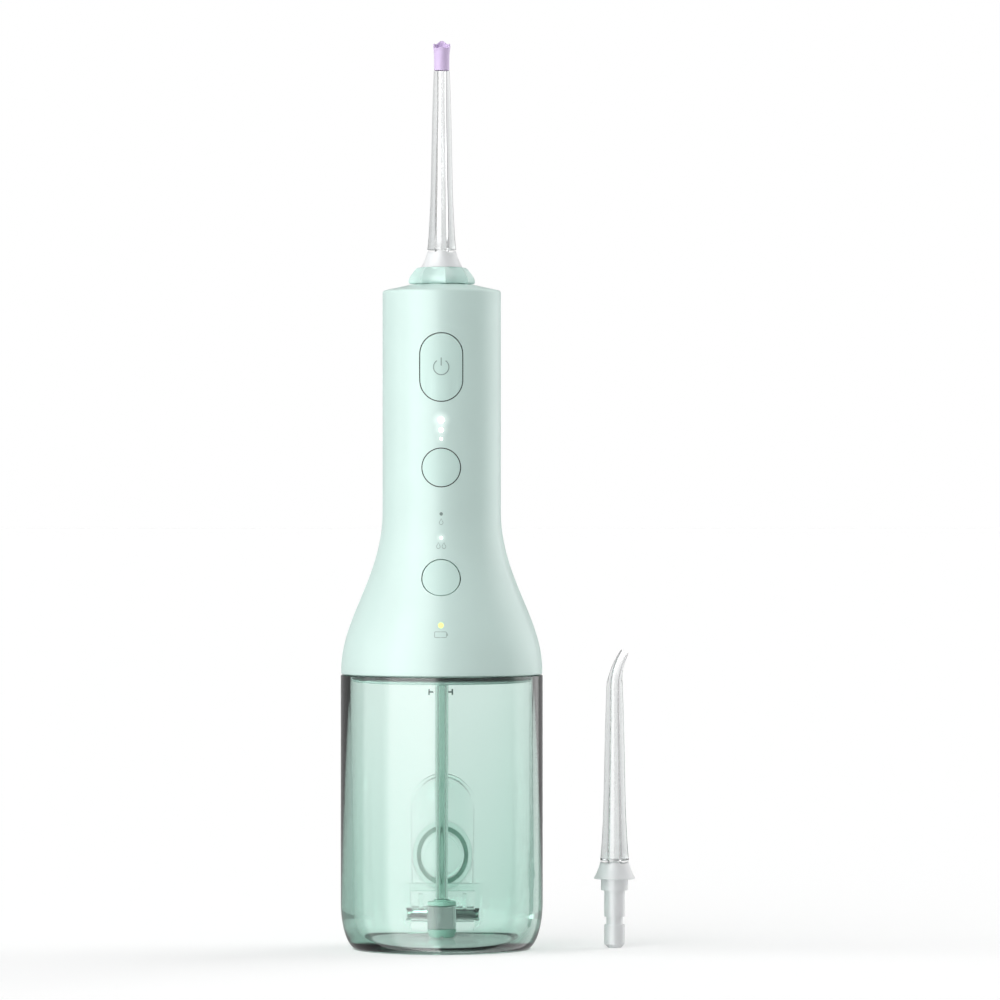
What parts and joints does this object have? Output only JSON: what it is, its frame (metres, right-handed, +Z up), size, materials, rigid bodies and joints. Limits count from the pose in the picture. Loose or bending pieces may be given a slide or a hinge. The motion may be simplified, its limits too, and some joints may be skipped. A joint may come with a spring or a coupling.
{
  "type": "water flosser",
  "caption": "Cordless water flosser: clear water tank, flared handle with pump and drive inside, turning clear nozzle on top and a spare nozzle beside it.",
  "frame": {"origin": "centre of the flat foot of the water tank", "axes": "+Z up along the tank and nozzle axis, -Y towards the buttons, +X to the right seen from the front"},
  "size_m": [0.1007, 0.069, 0.3103],
  "materials": {
    "clear_mint": "clear, glossy, faint green tint",
    "satin_mint": "satin moulded plastic",
    "knob_mint": "satin moulded plastic, a little darker",
    "button_mint": "soft satin",
    "white_plastic": "satin white",
    "lilac_soft": "soft matte silicone",
    "dark_rubber": "matte",
    "green_rubber": "matte silicone",
    "hose_plastic": "clear flexible tube",
    "steel": "polished",
    "motor_steel": "plated can",
    "nylon": "moulded nylon",
    "cell_wrap": "shrink sleeve",
    "board_green": "solder mask",
    "black_plastic": "moulded",
    "light_lens": "frosted clear"
  },
  "bodies": {
    "reservoir": {"reservoir": "clear_mint", "door_hinge_pin": "steel"},
    "fill_door": {"fill_door": "clear_mint", "fill_door_seal": "green_rubber"},
    "handle": {"casing": "satin_mint", "base_plate": "satin_mint", "tank_seal": "dark_rubber", "casing_seal": "dark_rubber", "base_screw_1": "steel", "base_screw_2": "steel", "base_screw_3": "steel", "suction_fitting": "green_rubber", "inlet_valve": "dark_rubber", "pump_body": "nylon", "outlet_valve": "dark_rubber", "outlet_tube": "hose_plastic", "motor": "motor_steel", "battery_cell": "cell_wrap", "chassis": "nylon", "circuit_board": "board_green", "power_switch": "black_plastic", "intensity_switch": "black_plastic", "mode_switch": "black_plastic", "intensity_lights": "light_lens", "mode_lights": "light_lens", "battery_light": "light_lens", "button_membrane": "dark_rubber", "charging_socket": "black_plastic", "nozzle_socket": "white_plastic", "socket_seal": "dark_rubber", "knob_retainer": "steel", "gear_axle": "steel", "release_spring": "steel"},
    "power_button": {"power_button": "button_mint"},
    "intensity_button": {"intensity_button": "button_mint"},
    "mode_button": {"mode_button": "button_mint"},
    "charging_cover": {"charging_cover": "satin_mint"},
    "knob": {"rotation_knob": "knob_mint"},
    "nozzle": {"nozzle_base": "white_plastic", "nozzle_tube": "clear_mint", "nozzle_tip": "lilac_soft"},
    "release": {"release_button": "knob_mint", "release_latch": "steel"},
    "pinion": {"motor_pinion": "nylon"},
    "crank": {"crank_gear": "nylon"},
    "piston": {"drive_yoke": "nylon", "pump_piston": "nylon", "piston_seal": "dark_rubber"},
    "hose": {"suction_hose": "hose_plastic", "weight_cap": "green_rubber", "weight_sleeve": "steel", "filter_foot": "green_rubber"},
    "spare_nozzle": {"spare_nozzle_base": "white_plastic", "spare_nozzle_tube": "clear_mint"}
  },
  "joints": [
    {"name": "handle_lift", "type": "slide", "parent": "reservoir", "child": "handle", "axis": [0, 0, 1], "range_m": [0, 0.11]},
    {"name": "fill_door_open", "type": "hinge", "parent": "reservoir", "child": "fill_door", "pos_m": [0, 0.0306, 0.0105], "axis": [-1, 0, 0], "range_deg": [0, 90]},
    {"name": "power_press", "type": "slide", "parent": "handle", "child": "power_button", "axis": [0, 1, 0], "range_m": [0, 0.0007], "stiffness_N_per_m": 800},
    {"name": "intensity_press", "type": "slide", "parent": "handle", "child": "intensity_button", "axis": [0, 1, 0], "range_m": [0, 0.0007], "stiffness_N_per_m": 800},
    {"name": "mode_press", "type": "slide", "parent": "handle", "child": "mode_button", "axis": [0, 0.9366, -0.3504], "range_m": [0, 0.0007], "stiffness_N_per_m": 800},
    {"name": "charging_cover_open", "type": "hinge", "parent": "handle", "child": "charging_cover", "pos_m": [0, 0.03178, 0.10672], "axis": [-1, 0, 0], "range_deg": [0, 100]},
    {"name": "nozzle_rotation", "type": "hinge", "parent": "handle", "child": "knob", "pos_m": [0, 0, 0.2298], "axis": [0, 0, 1], "continuous": true},
    {"name": "nozzle_pull", "type": "slide", "parent": "knob", "child": "nozzle", "axis": [0, 0, 1], "range_m": [0, 0.03]},
    {"name": "release_press", "type": "slide", "parent": "handle", "child": "release", "axis": [0, -1, 0], "range_m": [0, 0.0012], "stiffness_N_per_m": 800},
    {"name": "crank_spin", "type": "hinge", "parent": "handle", "child": "crank", "pos_m": [-0.003, -0.007, 0.1024], "axis": [0, 0, 1], "continuous": true},
    {"name": "pinion_spin", "type": "hinge", "parent": "handle", "child": "pinion", "pos_m": [-0.003, 0.0055, 0.1024], "axis": [0, 0, 1], "continuous": true},
    {"name": "piston_stroke", "type": "slide", "parent": "handle", "child": "piston", "axis": [1, 0, 0], "range_m": [-0.002, 0.002]},
    {"name": "hose_swing", "type": "hinge", "parent": "handle", "child": "hose", "pos_m": [0, 0, 0.0868], "axis": [0, 1, 0], "range_deg": [-12, 12]},
    {"name": "spare_nozzle_lift", "type": "slide", "parent": "reservoir", "child": "spare_nozzle", "axis": [0, 0, 1], "range_m": [0, 0.12]}
  ],
  "couplings": [
    {"joint": "pinion_spin", "follows": "crank_spin", "ratio": -4}
  ]
}
